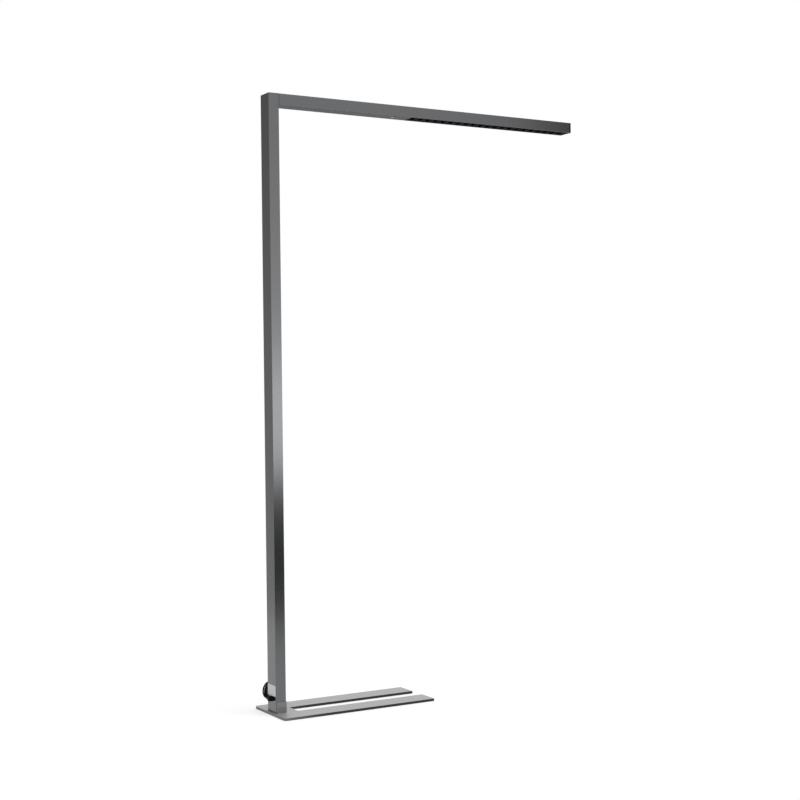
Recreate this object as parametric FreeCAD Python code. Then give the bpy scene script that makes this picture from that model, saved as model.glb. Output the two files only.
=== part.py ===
# Office floor lamp: a slotted base plate that slides round a desk leg, one upright post and one
# long arm cut from the same flat extrusion, with a direct and an indirect light in the arm.
# X runs along the arm away from the post, Y across it, Z up. Z = 0 is the floor under the feet,
# and the origin is under the middle of the lamp without its cord. Millimetres.
import FreeCAD, Part
import math
import os

os.makedirs("parts", exist_ok=True)
V = FreeCAD.Vector

# ---- overall sizes -------------------------------------------------------------------------
lamp_height = 1950.0        # floor to the top of the post
lamp_reach = 1170.0         # back of the post to the end of the arm
profile_wide = 60.0         # extrusion, along Y, post and arm alike
profile_deep = 35.0         # extrusion, along X in the post and along Z in the arm
profile_wall = 2.0
profile_corner = 1.2        # outside corner radius of the extrusion

# ---- base ----------------------------------------------------------------------------------
plate_length = 540.0
plate_width = 220.0
plate_thick = 8.0
plate_behind_post = 8.0     # plate shows this far behind the post
plate_corner = 9.0          # rear corners
prong_corner = 3.0          # front corners of the two prongs
slot_width = 62.0           # takes a desk leg
slot_from_post = 40.0       # front face of the post to the closed end of the slot
slot_corner = 4.0
foot_thick = 1.5
foot_diameter = 24.0
foot_inset = 26.0           # plate edge to foot centre
foot_seat = 0.4             # how deep a foot sits in its shallow recess

# ---- foot of the post ----------------------------------------------------------------------
collar_height = 34.0
collar_wall = 2.0
collar_gap = 0.2            # sleeve to post, each side
collar_back_inset = 1.5     # back of the post to the open back of the sleeve
spigot_height = 140.0
spigot_gap = 0.3            # spigot to the inside of the post, each side
spigot_channel_wide = 26.0  # rear channel that lets the lead up the post
spigot_channel_deep = 15.0
base_screw_size = 8.0
base_screw_length = 24.0
base_screw_head = 15.0
base_screw_pitch_y = 34.0
base_screw_clear = 0.3      # screw to its hole, each side
grub_size = 5.0
grub_pitch_y = 30.0
grub_height = 27.0          # above the plate
grub_bite = 5.0             # how far a grub screw runs into the spigot
grub_sunk = 0.3             # grub screw below the face of the sleeve

# ---- top corner ----------------------------------------------------------------------------
post_cap_thick = 1.5
cap_skirt_depth = 8.0
cap_skirt_wall = 2.0
bracket_gap = 0.3           # bracket to the inside of the extrusions
bracket_drop = 80.0         # how far the bracket runs down the post
bracket_tongue = 60.0       # how far it runs into the arm
bracket_bore = 10.0         # way for the lead
corner_screw_size = 5.0
corner_screw_pitch = 34.0
corner_screw_drop = 18.0    # arm underside to the first corner screw
corner_screw_step = 24.0
corner_screw_bite = 12.0    # how far a corner screw runs into the bracket
corner_head_high = 2.2
corner_head_rim = 1.2
tongue_screw_bite = 12.0    # web to the tip of a tongue screw
tongue_head_high = 2.0
tongue_screw_first = 21.0   # front face of the post to the first pair
tongue_screw_step = 27.0
screw_socket_deep = 1.4
screw_clear = 0.2           # corner and tongue screws to their holes

# ---- arm -----------------------------------------------------------------------------------
seam_wide = 1.5             # shadow groove where the arm's sides meet the post
seam_deep = 0.9
end_cap_thick = 6.0
end_cap_plug = 7.0
web_height = 22.5           # underside of the arm to the underside of its web
web_thick = 2.0
lip_wide = 2.5              # ledges that hold covers and louvre
cover_thick = 1.6
cover_gap = 0.2             # each side of a snap-in strip
joint_gap = 0.6             # between two strips that follow each other along the arm
louvre_start = 522.0        # back of the post to the start of the louvre
louvre_recess = 1.5
louvre_deep = 12.0
louvre_cells = 21
louvre_wall = 1.4
louvre_draft = 3.0          # how much a cell narrows on its way up
lens_thick = 1.5
diffuser_thick = 1.8
diffuser_recess = 0.3
board_thick = 1.4
board_wide = 30.0
led_size = 3.0
led_high = 0.7
led_spacing = 24.0
board_gap = 0.1             # light board to the web
board_end_gap = 4.0         # light board to each end of the louvre
driver_length = 270.0
driver_wide = 34.0
driver_high = 15.0
driver_start = 150.0        # back of the post to the driver
driver_gap = 0.2            # driver and terminal block to the web
driver_corner = 1.5
driver_tab_long = 8.0
driver_tab_wide = 17.0
driver_tab_thick = 1.5
driver_screw_size = 3.0
driver_head_high = 1.4
driver_screw_hole = 4.0
terminal_length = 22.0
terminal_wide = 28.0
terminal_high = 12.0
terminal_start = 112.0
terminal_entries = 4
terminal_entry_size = 3.2
terminal_entry_deep = 6.0
wire_pass = 7.0             # hole in the web behind the driver
wire_pass_ahead = 22.0      # driver to the hole
wire_size = 2.2
wire_bend = 3.0
wire_above_web = 3.5
wire_overlap = 4.0          # how far the wires run over the light board

# ---- sensor and button ---------------------------------------------------------------------
sensor_place = 461.0        # back of the post to the lens centre
sensor_diameter = 9.0
sensor_proud = 1.6
sensor_gap = 0.1
sensor_flange = 1.5         # flange beyond the lens, all round
sensor_flange_thick = 1.0
sensor_body_corner = 1.0
button_place = 480.0
button_diameter = 7.0
button_proud = 1.4
button_travel = 1.2
button_gap = 0.3
button_flange = 9.0
button_flange_thick = 1.0
button_flange_gap = 0.1     # flange to the inside of the strip
button_stem = 3.0
button_rim = 0.5
guide_wall = 1.4
guide_high = 4.0
control_board_length = 38.0
control_board_wide = 26.0
control_board_height = 14.0 # underside of the arm to the board
control_board_corner = 1.5
spacer_size = 5.0
spacer_inset = 4.0          # board edge to the middle of a spacer
switch_high = 3.5
switch_size = 6.0
switch_slack = 0.2          # left over between button and switch when pressed

# ---- back of the post ----------------------------------------------------------------------
label_wide = 56.0
label_tall = 34.0
label_thick = 0.3
label_corner = 1.0
label_bottom = 60.5         # above the floor
outlet_height = 51.0        # axis of the cord outlet above the floor
outlet_side = 15.0
outlet_proud = 13.0
outlet_start = -6.0         # near end of the outlet, along Y
outlet_long = 12.0
outlet_back_corner = 3.5
outlet_end_corner = 2.0
outlet_stem = 9.0
outlet_stem_clear = 0.3
outlet_stem_inside = 4.0    # how far the stem reaches into the post
outlet_nut_across = 14.0
outlet_nut_thick = 3.0

# ---- mains lead ----------------------------------------------------------------------------
cord_diameter = 5.0
relief_length = 20.0
relief_big = 12.0
relief_small = 7.6
relief_rings = 4
relief_ring_wide = 1.2
relief_ring_deep = 0.6
relief_grip = 8.0           # how far the cord runs into the end of a strain relief
coil_outer_turn = 28.5      # radius of the cord's centre line
coil_step = 3.3             # radius lost in half a turn
coil_layer = 5.7            # from one layer to the next
coil_layers = 4
coil_crossings_each = 4     # half turns in a layer
coil_tilt = 30.0            # degrees, where the lead joins the coil
coil_ahead = 24.0           # coil centre ahead of the back of the post
coil_height = 67.3
coil_off_post = 3.3         # post to the nearest turn
inner_cord_diameter = 5.0
inner_cord_bend = 12.0
plug_body = 33.0
plug_body_length = 28.0
plug_pin = 4.8
plug_pin_length = 19.0
plug_pin_pitch = 19.0
plug_pin_seat = 8.0         # how deep a pin is set in the plug
plug_pin_point = 1.2        # chamfer at the tip
plug_above_plate = 0.05
plug_turn = 18.0            # degrees, plug's axis away from the Y axis
tie_wide = 12.0
tie_thick = 0.9
tie_slack = 0.5
tie_corner = 2.0
tie_gap = 0.2               # tie to the bridge of its clip
tie_angle = 92.0            # degrees up from the coil's front side
clip_wide = 20.0
clip_tall = 16.0
clip_base = 0.7
clip_bridge = 0.8
clip_opening = 1.3
clip_leg_gap = 0.4          # tie to each leg of the clip

# ---- places worked out from the sizes ------------------------------------------------------
post_back = -(lamp_reach - plate_behind_post) / 2.0
post_front = post_back + profile_deep
half_wide = profile_wide / 2.0
arm_end = post_back + lamp_reach
arm_top = lamp_height
arm_bottom = lamp_height - profile_deep
plate_bottom = foot_thick - foot_seat
plate_top = plate_bottom + plate_thick
plate_back = post_back - plate_behind_post
plate_front = plate_back + plate_length
slot_back = post_front + slot_from_post
housing_end = arm_end - end_cap_thick
web_bottom = arm_bottom + web_height
web_top = web_bottom + web_thick
inner_half = half_wide - profile_wall
spigot_top = plate_top + spigot_height
post_top = lamp_height - post_cap_thick
far_face = half_wide
driver_top = web_bottom - driver_gap


def box(x0, x1, y0, y1, z0, z1):
    return Part.makeBox(x1 - x0, y1 - y0, z1 - z0, V(x0, y0, z0))


def cylinder(radius, length, start, direction):
    return Part.makeCylinder(radius, length, start, direction)


def joined(shapes):
    body = shapes[0].multiFuse(shapes[1:]) if len(shapes) > 1 else shapes[0]
    return body.removeSplitter()


def save(name, shape):
    if not shape.isValid():
        print("not valid:", name)
    shape.exportStep("parts/" + name + ".step")
    print(name, "solids", len(shape.Solids), "volume", round(shape.Volume))


def edges_along(shape, axis, keep=lambda middle: True):
    found = []
    for edge in shape.Edges:
        if edge.Curve.TypeId != "Part::GeomLine":
            continue
        way = edge.Vertexes[-1].Point - edge.Vertexes[0].Point
        if abs(abs(way.normalize().dot(axis)) - 1) < 1e-6 and keep(edge.CenterOfMass):
            found.append(edge)
    return found


def rounded(shape, radius, axis, keep=lambda middle: True):
    return shape.makeFillet(radius, edges_along(shape, axis, keep))


# ---- base plate, feet and screws -----------------------------------------------------------
def base_screw_places():
    middle = post_front - spigot_solid() / 2.0 - profile_wall
    return [V(middle, side * base_screw_pitch_y / 2.0, plate_bottom) for side in (-1, 1)]


def spigot_solid():
    # the part of the spigot in front of its rear channel
    return profile_deep - 2 * profile_wall - 2 * spigot_gap - spigot_channel_deep


def foot_places():
    places = []
    for x in (plate_back + foot_inset, (plate_back + plate_front) / 2.0, plate_front - foot_inset):
        for side in (-1, 1):
            places.append(V(x, side * (plate_width / 2.0 - foot_inset), 0))
    return places


def base_plate():
    half = plate_width / 2.0
    plate = box(plate_back, plate_front, -half, half, plate_bottom, plate_top)
    plate = rounded(plate, plate_corner, V(0, 0, 1), lambda m: m.x < post_back)
    plate = rounded(plate, prong_corner, V(0, 0, 1), lambda m: m.x > slot_back)
    slot = box(slot_back, plate_front + slot_width, -slot_width / 2.0, slot_width / 2.0,
               plate_bottom - plate_thick, plate_top + plate_thick)
    slot = rounded(slot, slot_corner, V(0, 0, 1), lambda m: m.x < plate_front)
    plate = plate.cut(slot)
    for place in base_screw_places():
        plate = plate.cut(screw_hole(place))
    for place in foot_places():
        plate = plate.cut(cylinder(foot_diameter / 2.0 + 0.2, foot_thick, place, V(0, 0, 1)))
    return plate


def screw_hole(place):
    clear = base_screw_clear
    head = (base_screw_head - base_screw_size) / 2.0
    hole = cylinder(base_screw_size / 2.0 + clear, plate_thick * 3, place - V(0, 0, plate_thick), V(0, 0, 1))
    cone = Part.makeCone(base_screw_head / 2.0 + clear, base_screw_size / 2.0 + clear, head,
                         place, V(0, 0, 1))
    return hole.fuse(cone)


def base_screws():
    head = (base_screw_head - base_screw_size) / 2.0
    screws = []
    for place in base_screw_places():
        cone = Part.makeCone(base_screw_head / 2.0, base_screw_size / 2.0, head, place, V(0, 0, 1))
        shank = cylinder(base_screw_size / 2.0, base_screw_length, place, V(0, 0, 1))
        screw = cone.fuse(shank).removeSplitter()
        screw = screw.cut(hexagon(base_screw_size * 0.6, head * 0.7, place, V(0, 0, 1)))
        screws.append(screw)
    return Part.makeCompound(screws)


def hexagon(across, depth, place, direction):
    radius = across / math.sqrt(3)
    spin = FreeCAD.Rotation(V(0, 0, 1), direction)
    corners = []
    for step in range(7):
        angle = math.radians(60 * step)
        corners.append(place + spin.multVec(V(radius * math.cos(angle), radius * math.sin(angle), 0)))
    return Part.Face(Part.makePolygon(corners)).extrude(spin.multVec(V(0, 0, depth)))


def base_feet():
    feet = []
    for place in foot_places():
        foot = cylinder(foot_diameter / 2.0, foot_thick, place, V(0, 0, 1))
        low = [e for e in foot.Edges if abs(e.CenterOfMass.z) < 1e-6 and e.Closed]
        feet.append(foot.makeChamfer(foot_thick * 0.25, low))
    return Part.makeCompound(feet)


# ---- foot of the post ----------------------------------------------------------------------
def foot_spigot():
    gap = profile_wall + spigot_gap
    block = box(post_back + gap, post_front - gap, -half_wide + gap, half_wide - gap, plate_top, spigot_top)
    half = spigot_channel_wide / 2.0
    channel = box(post_back, post_back + gap + spigot_channel_deep, -half, half, plate_top - 1, spigot_top + 1)
    block = block.cut(channel)
    for place in base_screw_places():
        block = block.cut(cylinder(base_screw_size / 2.0, base_screw_length, place, V(0, 0, 1)))
    for place in grub_places():
        block = block.cut(cylinder(grub_size / 2.0, grub_depth(), place, V(-1, 0, 0)))
    return block


def grub_places():
    face = post_front + collar_gap + collar_wall
    height = plate_top + grub_height
    return [V(face, side * grub_pitch_y / 2.0, height) for side in (-1, 1)]


def grub_depth():
    return collar_wall + collar_gap + profile_wall + spigot_gap + grub_bite


def grub_screws():
    screws = []
    for place in grub_places():
        start = place - V(grub_sunk, 0, 0)
        screw = cylinder(grub_size / 2.0, grub_depth() - grub_sunk, start, V(-1, 0, 0))
        screws.append(screw.cut(hexagon(grub_size * 0.5, 2.5, start, V(-1, 0, 0))))
    return Part.makeCompound(screws)


def foot_collar():
    # a sleeve round three sides of the post, open at the back
    out = collar_gap + collar_wall
    height = plate_top + collar_height
    outer = box(post_back - out, post_front + out, -half_wide - out, half_wide + out, plate_top, height)
    outer = rounded(outer, profile_corner + out, V(0, 0, 1))
    gap = collar_gap
    inner = box(post_back - gap, post_front + gap, -half_wide - gap, half_wide + gap, plate_top - 1, height + 1)
    collar = outer.cut(rounded(inner, profile_corner, V(0, 0, 1)))
    back = box(post_back - out - 1, post_back + collar_back_inset, -profile_wide, profile_wide,
               plate_top - 1, height + 1)
    collar = collar.cut(back)
    for place in grub_places():
        collar = collar.cut(cylinder(grub_size / 2.0, grub_depth(), place, V(-1, 0, 0)))
    return collar


# ---- post ----------------------------------------------------------------------------------
def post_tube():
    outer = box(post_back, post_front, -half_wide, half_wide, plate_top, post_top)
    outer = rounded(outer, profile_corner, V(0, 0, 1))
    inner = box(post_back + profile_wall, post_front - profile_wall, -inner_half, inner_half,
                plate_top - 1, post_top + 1)
    post = outer.cut(inner)
    for place in grub_places():
        post = post.cut(cylinder(grub_size / 2.0, grub_depth(), place, V(-1, 0, 0)))
    for place in corner_screw_places():
        start = place + V(profile_wall, 0, 0)
        post = post.cut(cylinder(corner_screw_size / 2.0 + screw_clear, profile_wall * 3, start, V(-1, 0, 0)))
    tongue = tongue_box(bracket_gap, post_front - profile_wall - 1, post_front + 1)
    post = post.cut(tongue)
    stem = cylinder(outlet_stem / 2.0 + outlet_stem_clear, profile_wall * 3, outlet_stem_start(), V(1, 0, 0))
    return post.cut(stem)


def tongue_box(extra, x0, x1):
    # the bracket's tongue lies between the arm's underside and its web
    side = inner_half - bracket_gap + extra
    low = arm_bottom + cover_thick + cover_gap + bracket_gap - extra
    high = web_bottom - bracket_gap + extra
    return box(x0, x1, -side, side, low, high)


def post_cap():
    cap = box(post_back, post_front, -half_wide, half_wide, post_top, lamp_height)
    cap = rounded(cap, profile_corner, V(0, 0, 1))
    gap = profile_wall + cover_gap
    low = post_top - cap_skirt_depth
    skirt = box(post_back + gap, post_front - gap, -half_wide + gap, half_wide - gap, low, post_top)
    inset = gap + cap_skirt_wall
    hollow = box(post_back + inset, post_front - inset, -half_wide + inset, half_wide - inset,
                 low - cap_skirt_depth, post_top)
    return cap.fuse(skirt.cut(hollow)).removeSplitter()


# ---- bracket that joins the arm to the post ------------------------------------------------
def bracket_high():
    return web_bottom - bracket_gap


def corner_screw_places():
    places = []
    for row in (0, 1):
        for side in (-1, 1):
            height = arm_bottom - corner_screw_drop - row * corner_screw_step
            places.append(V(post_front, side * corner_screw_pitch / 2.0, height))
    return places


def corner_bracket():
    gap = profile_wall + bracket_gap
    side = inner_half - bracket_gap
    block = box(post_back + gap, post_front - gap, -side, side, arm_bottom - bracket_drop, bracket_high())
    tongue = tongue_box(0, post_front - gap - 1, post_front + bracket_tongue)
    bracket = block.fuse(tongue).removeSplitter()
    x = inner_cord_x()
    z = inner_cord_z()
    radius = bracket_bore / 2.0
    turn = inner_cord_bend + radius
    bottom = arm_bottom - bracket_drop - 1
    bracket = bracket.cut(cylinder(radius, z - bottom, V(x, 0, bottom), V(0, 0, 1)))
    bracket = bracket.cut(cylinder(radius, lamp_reach, V(x, 0, z), V(1, 0, 0)))
    bracket = bracket.cut(box(x - radius, x + turn, -radius, radius, z - turn, z + radius))
    for place in corner_screw_places():
        bracket = bracket.cut(cylinder(corner_screw_size / 2.0, corner_screw_length(), place, V(-1, 0, 0)))
    for place in tongue_screw_places():
        bracket = bracket.cut(cylinder(corner_screw_size / 2.0, tongue_screw_bite, place, V(0, 0, -1)))
    return bracket


def corner_screw_length():
    return profile_wall + bracket_gap + corner_screw_bite


def corner_screws():
    screws = []
    for place in corner_screw_places():
        head = cylinder(corner_screw_size * 0.9, corner_head_high, place, V(1, 0, 0))
        rim = [e for e in head.Edges if abs(e.CenterOfMass.x - place.x - corner_head_high) < 1e-6 and e.Closed]
        head = head.makeFillet(corner_head_rim, rim)
        shank = cylinder(corner_screw_size / 2.0, corner_screw_length(), place, V(-1, 0, 0))
        screw = head.fuse(shank).removeSplitter()
        top = place + V(corner_head_high, 0, 0)
        screws.append(screw.cut(hexagon(corner_screw_size * 0.6, screw_socket_deep, top, V(-1, 0, 0))))
    return Part.makeCompound(screws)


def tongue_screw_places():
    # through the web, down into the tongue
    places = []
    for ahead in (tongue_screw_first, tongue_screw_first + tongue_screw_step):
        for side in (-1, 1):
            places.append(V(post_front + ahead, side * corner_screw_pitch / 2.0, web_top))
    return places


def tongue_screws():
    screws = []
    for place in tongue_screw_places():
        head = cylinder(corner_screw_size * 0.85, tongue_head_high, place, V(0, 0, 1))
        shank = cylinder(corner_screw_size / 2.0, tongue_screw_bite, place, V(0, 0, -1))
        screw = head.fuse(shank).removeSplitter()
        top = place + V(0, 0, tongue_head_high)
        screws.append(screw.cut(hexagon(corner_screw_size * 0.6, screw_socket_deep, top, V(0, 0, -1))))
    return Part.makeCompound(screws)


# ---- arm -----------------------------------------------------------------------------------
def arm_housing():
    outer = box(post_front, housing_end, -half_wide, half_wide, arm_bottom, arm_top)
    outer = rounded(outer, profile_corner, V(1, 0, 0))
    below = box(post_front - 1, housing_end + 1, -inner_half, inner_half, arm_bottom - 1, web_bottom)
    above = box(post_front - 1, housing_end + 1, -inner_half, inner_half, web_top, arm_top + 1)
    arm = outer.cut(below).cut(above)
    for side in (-1, 1):
        y0, y1 = sorted((side * half_wide, side * (half_wide - seam_deep)))
        arm = arm.cut(box(post_front, post_front + seam_wide, y0, y1, arm_bottom, arm_top))
    ledge_low = arm_bottom + cover_thick + cover_gap
    ledge_high = arm_top - diffuser_recess - diffuser_thick - cover_gap
    start = post_front + bracket_tongue + bracket_gap
    for side in (-1, 1):
        y0, y1 = sorted((side * inner_half, side * (inner_half - lip_wide)))
        arm = arm.fuse(box(start, louvre_x0(), y0, y1, ledge_low, ledge_low + lip_wide / 2.0))
        arm = arm.fuse(box(post_front, housing_end - end_cap_plug - 1, y0, y1, ledge_high - lip_wide / 2.0,
                           ledge_high))
    arm = arm.removeSplitter()
    for place in tongue_screw_places():
        start = place + V(0, 0, web_thick)
        arm = arm.cut(cylinder(corner_screw_size / 2.0 + screw_clear, web_thick * 3, start, V(0, 0, -1)))
    for place in wire_pass_places():
        arm = arm.cut(cylinder(wire_pass / 2.0, web_thick * 3, place + V(0, 0, web_thick), V(0, 0, -1)))
    return arm


def louvre_x0():
    return post_back + louvre_start


def driver_end():
    return post_back + driver_start + driver_length


def wire_pass_places():
    return [V(driver_end() + wire_pass_ahead, 0, web_top)]


def arm_bottom_cover():
    side = inner_half - cover_gap
    cover = box(post_front + cover_gap, louvre_x0() - joint_gap, -side, side, arm_bottom,
                arm_bottom + cover_thick)
    sensor = V(post_back + sensor_place, 0, arm_bottom - 1)
    button = V(post_back + button_place, 0, arm_bottom - 1)
    cover = cover.cut(cylinder(sensor_diameter / 2.0 + sensor_gap, cover_thick + 2, sensor, V(0, 0, 1)))
    return cover.cut(cylinder(button_diameter / 2.0 + button_gap, cover_thick + 2, button, V(0, 0, 1)))


def end_cap():
    cap = box(housing_end, arm_end, -half_wide, half_wide, arm_bottom, arm_top)
    cap = rounded(cap, profile_corner, V(1, 0, 0))
    side = inner_half - cover_gap
    low = box(housing_end - end_cap_plug, housing_end, -side, side,
              arm_bottom + cover_thick, web_bottom - cover_gap)
    high = box(housing_end - end_cap_plug, housing_end, -side, side,
               web_top + cover_gap, arm_top - cover_thick)
    hollow = cap_skirt_wall
    low = low.cut(box(housing_end - end_cap_plug - 1, housing_end, -side + hollow, side - hollow,
                      arm_bottom + cover_thick + hollow, web_bottom - cover_gap - hollow))
    high = high.cut(box(housing_end - end_cap_plug - 1, housing_end, -side + hollow, side - hollow,
                        web_top + cover_gap + hollow, arm_top - cover_thick - hollow))
    return cap.multiFuse([low, high]).removeSplitter()


def louvre_x1():
    return housing_end - end_cap_plug - joint_gap


def louvre():
    side = inner_half - cover_gap
    bottom = arm_bottom + louvre_recess
    top = bottom + louvre_deep
    block = box(louvre_x0(), louvre_x1(), -side, side, bottom, top)
    pitch = (louvre_x1() - louvre_x0() - louvre_wall) / louvre_cells
    cells = []
    for number in range(louvre_cells):
        x0 = louvre_x0() + louvre_wall + number * pitch
        x1 = x0 + pitch - louvre_wall
        y = side - louvre_wall
        low = rectangle(x0, x1, -y, y, bottom - 0.01)
        draft = louvre_draft
        high = rectangle(x0 + draft, x1 - draft, -y + draft, y - draft, top + 0.01)
        cells.append(Part.makeLoft([low, high], True, True))
    return block.cut(Part.makeCompound(cells))


def rectangle(x0, x1, y0, y1, z):
    return Part.makePolygon([V(x0, y0, z), V(x1, y0, z), V(x1, y1, z), V(x0, y1, z), V(x0, y0, z)])


def down_lens():
    side = inner_half - cover_gap
    z0 = arm_bottom + louvre_recess + louvre_deep
    return box(louvre_x0(), louvre_x1(), -side, side, z0, z0 + lens_thick)


def led_places():
    count = int((louvre_x1() - louvre_x0()) / led_spacing)
    first = louvre_x0() + led_spacing / 2.0
    return [first + number * led_spacing for number in range(count)]


def led_strip(board_z, facing):
    # a board against the web with a row of square emitters on its outer face
    half = board_wide / 2.0
    z0, z1 = sorted((board_z, board_z + facing * board_thick))
    parts = [box(louvre_x0() + board_end_gap, louvre_x1() - board_end_gap, -half, half, z0, z1)]
    face = board_z + facing * board_thick
    for x in led_places():
        low, high = sorted((face, face + facing * led_high))
        parts.append(box(x - led_size / 2.0, x + led_size / 2.0, -led_size / 2.0, led_size / 2.0, low, high))
    return joined(parts)


def top_cover():
    side = inner_half - cover_gap
    z1 = arm_top - diffuser_recess
    return box(post_front + cover_gap, louvre_x0() - joint_gap, -side, side, z1 - diffuser_thick, z1)


def top_diffuser():
    side = inner_half - cover_gap
    z1 = arm_top - diffuser_recess
    return box(louvre_x0(), housing_end - cover_gap, -side, side, z1 - diffuser_thick, z1).cut(end_cap())


# ---- driver, terminal block and wires ------------------------------------------------------
def led_driver():
    half = driver_wide / 2.0
    x0 = post_back + driver_start
    body = box(x0, driver_end(), -half, half, driver_top - driver_high, driver_top)
    body = rounded(body, driver_corner, V(1, 0, 0))
    tabs = []
    for x in (x0 - driver_tab_long, driver_end()):
        tab = box(x, x + driver_tab_long, -driver_tab_wide / 2.0, driver_tab_wide / 2.0,
                  driver_top - driver_tab_thick, driver_top)
        tabs.append(tab)
    body = joined([body] + tabs)
    for place in driver_screw_places():
        body = body.cut(cylinder(driver_screw_size / 2.0, driver_screw_hole, place - V(0, 0, 1), V(0, 0, 1)))
    return body


def driver_screw_places():
    out = driver_tab_long / 2.0
    low = driver_top - driver_tab_thick
    return [V(post_back + driver_start - out, 0, low), V(driver_end() + out, 0, low)]


def driver_screws():
    screws = []
    for place in driver_screw_places():
        head = cylinder(driver_screw_size * 0.9, driver_head_high, place, V(0, 0, -1))
        shank = cylinder(driver_screw_size / 2.0, driver_tab_thick, place, V(0, 0, 1))
        screws.append(head.fuse(shank).removeSplitter())
    return Part.makeCompound(screws)


def terminal_block():
    half = terminal_wide / 2.0
    x0 = post_back + terminal_start
    block = box(x0, x0 + terminal_length, -half, half, driver_top - terminal_high, driver_top)
    for number in range(terminal_entries):
        y = -half + (number + 0.5) * terminal_wide / terminal_entries
        mouth = V(x0, y, driver_top - terminal_high / 2.0)
        block = block.cut(cylinder(terminal_entry_size / 2.0, terminal_entry_deep, mouth, V(1, 0, 0)))
    return block


def tube(points, diameter, radii):
    # straight runs joined by tangent arcs, with a round section swept along them
    edges = []
    at = points[0]
    length = 0.0
    for number in range(1, len(points) - 1):
        corner = points[number]
        back = (points[number - 1] - corner).normalize()
        ahead = (points[number + 1] - corner).normalize()
        turn = math.pi - back.getAngle(ahead)
        radius = radii[number - 1]
        reach = radius * math.tan(turn / 2.0)
        first = corner + back * reach
        last = corner + ahead * reach
        middle_way = (back + ahead).normalize()
        middle = corner + middle_way * (radius / math.cos(turn / 2.0) - radius)
        edges.append(Part.LineSegment(at, first).toShape())
        edges.append(Part.Arc(first, middle, last).toShape())
        at = last
    edges.append(Part.LineSegment(at, points[-1]).toShape())
    return swept(edges, diameter)


def swept(edges, diameter):
    wire = Part.Wire(edges)
    start = edges[0].valueAt(edges[0].FirstParameter)
    way = edges[0].tangentAt(edges[0].FirstParameter)
    section = Part.Wire([Part.makeCircle(diameter / 2.0, start, way)])
    body = wire.makePipeShell([section], True, False)
    wanted = math.pi * diameter ** 2 / 4.0 * wire.Length
    print("   tube", round(wire.Length, 1), "mm long, volume against section x length",
          round(body.Volume / wanted, 4))
    return body


def corner_radii(points):
    # each arc takes 0.45 of the shorter of its two runs
    radii = []
    for number in range(1, len(points) - 1):
        back = points[number - 1] - points[number]
        ahead = points[number + 1] - points[number]
        turn = math.pi - back.getAngle(ahead)
        radii.append(0.45 * min(back.Length, ahead.Length) / math.tan(turn / 2.0))
    print("   radii", [round(radius, 1) for radius in radii])
    return radii


def inner_cord_x():
    return post_back + profile_wall + spigot_gap + spigot_channel_deep - bracket_bore / 2.0


def inner_cord_z():
    return driver_top - terminal_high / 2.0


def supply_cable():
    points = [V(outlet_stem_end(), 0, outlet_height),
              V(inner_cord_x(), 0, outlet_height),
              V(inner_cord_x(), 0, inner_cord_z()),
              V(post_back + terminal_start, 0, inner_cord_z())]
    small = min(inner_cord_bend, inner_cord_x() - points[0].x) * 0.9
    return tube(points, inner_cord_diameter, [small, inner_cord_bend])


def output_wires():
    x0 = driver_end()
    x1 = x0 + wire_pass_ahead
    z = driver_top - driver_high / 2.0
    high = web_top + wire_above_web
    wires = []
    for y in (-wire_size, wire_size):
        points = [V(x0, y, z), V(x1, y, z), V(x1, y, high), V(louvre_x0() + wire_overlap, y, high)]
        wires.append(tube(points, wire_size, [wire_bend, wire_bend]))
    return Part.makeCompound(wires)


# ---- sensor and push button ----------------------------------------------------------------
def control_middle():
    return post_back + (sensor_place + button_place) / 2.0


def cover_inside():
    return arm_bottom + cover_thick


def control_board():
    half = control_board_length / 2.0
    z0 = arm_bottom + control_board_height
    board = box(control_middle() - half, control_middle() + half, -control_board_wide / 2.0,
                control_board_wide / 2.0, z0, z0 + board_thick)
    return rounded(board, control_board_corner, V(0, 0, 1))


def spacer_places():
    z = arm_bottom + control_board_height + board_thick
    ahead = control_board_length / 2.0 - spacer_inset
    aside = control_board_wide / 2.0 - spacer_inset
    return [V(control_middle() + side * ahead, side * aside, z) for side in (-1, 1)]


def control_spacers():
    spacers = []
    for place in spacer_places():
        spacers.append(cylinder(spacer_size / 2.0, web_bottom - place.z, place, V(0, 0, 1)))
    return Part.makeCompound(spacers)


def sensor_lens():
    middle = V(post_back + sensor_place, 0, arm_bottom)
    radius = sensor_diameter / 2.0
    ball = (radius ** 2 + sensor_proud ** 2) / (2.0 * sensor_proud)
    dome = Part.makeSphere(ball, middle + V(0, 0, ball - sensor_proud))
    dome = dome.common(cylinder(radius, sensor_proud, middle, V(0, 0, -1)))
    barrel = cylinder(radius, cover_thick, middle, V(0, 0, 1))
    flange = cylinder(radius + sensor_flange, sensor_flange_thick, middle + V(0, 0, cover_thick), V(0, 0, 1))
    return joined([dome, barrel, flange])


def sensor_body():
    low = cover_inside() + sensor_flange_thick
    half = sensor_diameter / 2.0 + sensor_flange
    middle = post_back + sensor_place
    body = box(middle - half, middle + half, -half, half, low, arm_bottom + control_board_height)
    return rounded(body, sensor_body_corner, V(0, 0, 1))


def switch_low():
    return arm_bottom + control_board_height - switch_high


def push_button():
    middle = V(post_back + button_place, 0, arm_bottom)
    radius = button_diameter / 2.0
    seat = cover_thick + button_flange_gap
    face = cylinder(radius, button_proud + seat, middle - V(0, 0, button_proud), V(0, 0, 1))
    rim = [e for e in face.Edges if abs(e.CenterOfMass.z - arm_bottom + button_proud) < 1e-6 and e.Closed]
    face = face.makeFillet(button_rim, rim)
    flange = cylinder(button_flange / 2.0, button_flange_thick, middle + V(0, 0, seat), V(0, 0, 1))
    foot = seat + button_flange_thick
    stem_length = switch_low() - arm_bottom - foot - button_travel - switch_slack
    stem = cylinder(button_stem / 2.0, stem_length, middle + V(0, 0, foot), V(0, 0, 1))
    return joined([face, flange, stem])


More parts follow.
